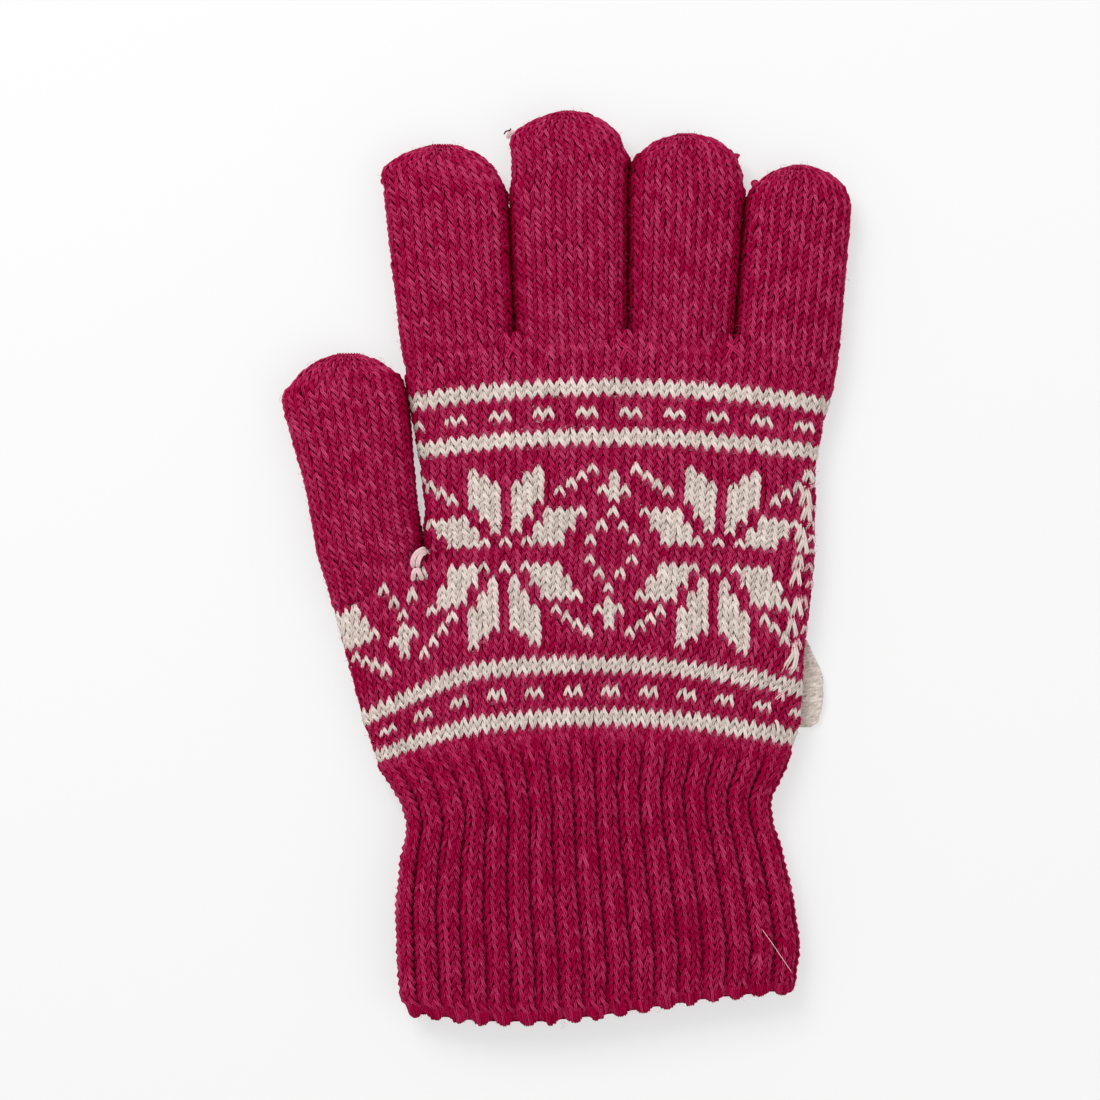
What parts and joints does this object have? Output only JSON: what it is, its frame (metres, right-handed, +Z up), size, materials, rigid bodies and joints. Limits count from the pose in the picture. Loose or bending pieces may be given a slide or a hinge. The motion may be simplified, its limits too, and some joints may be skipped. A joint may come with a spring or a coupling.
{
  "type": "knitted glove",
  "caption": "Soft knitted winter glove with separate fingers, a patterned hand, a ribbed stretch cuff and an overlocked hem, lying flat.",
  "frame": {"origin": "centre of the glove's plan outline, on the surface it lies on", "axes": "+Y from the cuff towards the fingertips, +X from the thumb side to the little-finger side, +Z up through the thickness of the flat glove"},
  "size_m": [0.1308, 0.2098, 0.0126],
  "materials": {
    "crimson_yarn": "matt brushed acrylic knit",
    "deep_crimson_yarn": "matt brushed acrylic rib and overlock",
    "off_white_yarn": "matt brushed acrylic knit",
    "elastic_thread": "covered elastic",
    "label_felt": "speckled felt"
  },
  "bodies": {
    "palm": {"four_finger_body": "crimson_yarn", "five_finger_body": "crimson_yarn", "jacquard_floats_lower": "off_white_yarn", "jacquard_floats_upper": "off_white_yarn", "crotch_join_index_middle": "deep_crimson_yarn", "crotch_join_middle_ring": "deep_crimson_yarn", "crotch_join_ring_little": "deep_crimson_yarn", "thumb_crotch_loop": "off_white_yarn", "side_float_column_lower": "off_white_yarn", "side_float_column_upper": "off_white_yarn", "side_label": "label_felt"},
    "cuff": {"ribbed_cuff": "deep_crimson_yarn", "cuff_overlock_hem": "deep_crimson_yarn", "cuff_elastic_1": "elastic_thread", "cuff_elastic_2": "elastic_thread", "cuff_elastic_3": "elastic_thread", "cuff_elastic_4": "elastic_thread", "cuff_elastic_5": "elastic_thread"},
    "thumb_base": {"thumb_proximal": "crimson_yarn"},
    "thumb_end": {"thumb_distal": "crimson_yarn", "thumb_tip_knot": "deep_crimson_yarn"},
    "index_base": {"index_proximal": "crimson_yarn"},
    "index_end": {"index_distal": "crimson_yarn", "index_tip_knot": "deep_crimson_yarn"},
    "middle_base": {"middle_proximal": "crimson_yarn"},
    "middle_end": {"middle_distal": "crimson_yarn", "middle_tip_knot": "deep_crimson_yarn"},
    "ring_base": {"ring_proximal": "crimson_yarn"},
    "ring_end": {"ring_distal": "crimson_yarn", "ring_tip_knot": "deep_crimson_yarn"},
    "little_base": {"little_proximal": "crimson_yarn"},
    "little_end": {"little_distal": "crimson_yarn", "little_tip_knot": "deep_crimson_yarn"}
  },
  "joints": [
    {"name": "cuff_turn_back", "type": "hinge", "parent": "palm", "child": "cuff", "pos_m": [0, -0.0465, 0.0114], "axis": [-1, 0, 0], "range_deg": [0, 75]},
    {"name": "thumb_fold", "type": "hinge", "parent": "palm", "child": "thumb_base", "pos_m": [0, 0.0043, 0.0104], "axis": [1, 0, 0], "range_deg": [0, 40]},
    {"name": "thumb_knuckle", "type": "hinge", "parent": "thumb_base", "child": "thumb_end", "pos_m": [0, 0.0255, 0.0104], "axis": [1, 0, 0], "range_deg": [0, 41]},
    {"name": "index_fold", "type": "hinge", "parent": "palm", "child": "index_base", "pos_m": [0, 0.0525, 0.0104], "axis": [1, 0, 0], "range_deg": [0, 70]},
    {"name": "index_knuckle", "type": "hinge", "parent": "index_base", "child": "index_end", "pos_m": [0, 0.0725, 0.0104], "axis": [1, 0, 0], "range_deg": [0, 64]},
    {"name": "middle_fold", "type": "hinge", "parent": "palm", "child": "middle_base", "pos_m": [0, 0.0525, 0.0104], "axis": [1, 0, 0], "range_deg": [0, 70]},
    {"name": "middle_knuckle", "type": "hinge", "parent": "middle_base", "child": "middle_end", "pos_m": [0, 0.0755, 0.0104], "axis": [1, 0, 0], "range_deg": [0, 64]},
    {"name": "ring_fold", "type": "hinge", "parent": "palm", "child": "ring_base", "pos_m": [0, 0.0525, 0.0104], "axis": [1, 0, 0], "range_deg": [0, 70]},
    {"name": "ring_knuckle", "type": "hinge", "parent": "ring_base", "child": "ring_end", "pos_m": [0, 0.074, 0.0104], "axis": [1, 0, 0], "range_deg": [0, 64]},
    {"name": "little_fold", "type": "hinge", "parent": "palm", "child": "little_base", "pos_m": [0, 0.0525, 0.0104], "axis": [1, 0, 0], "range_deg": [0, 70]},
    {"name": "little_knuckle", "type": "hinge", "parent": "little_base", "child": "little_end", "pos_m": [0, 0.0705, 0.0104], "axis": [1, 0, 0], "range_deg": [0, 64]}
  ],
  "couplings": [
    {"joint": "thumb_knuckle", "follows": "thumb_fold", "ratio": 1},
    {"joint": "index_knuckle", "follows": "index_fold", "ratio": 0.9},
    {"joint": "middle_knuckle", "follows": "middle_fold", "ratio": 0.9},
    {"joint": "ring_knuckle", "follows": "ring_fold", "ratio": 0.9},
    {"joint": "little_knuckle", "follows": "little_fold", "ratio": 0.9}
  ]
}
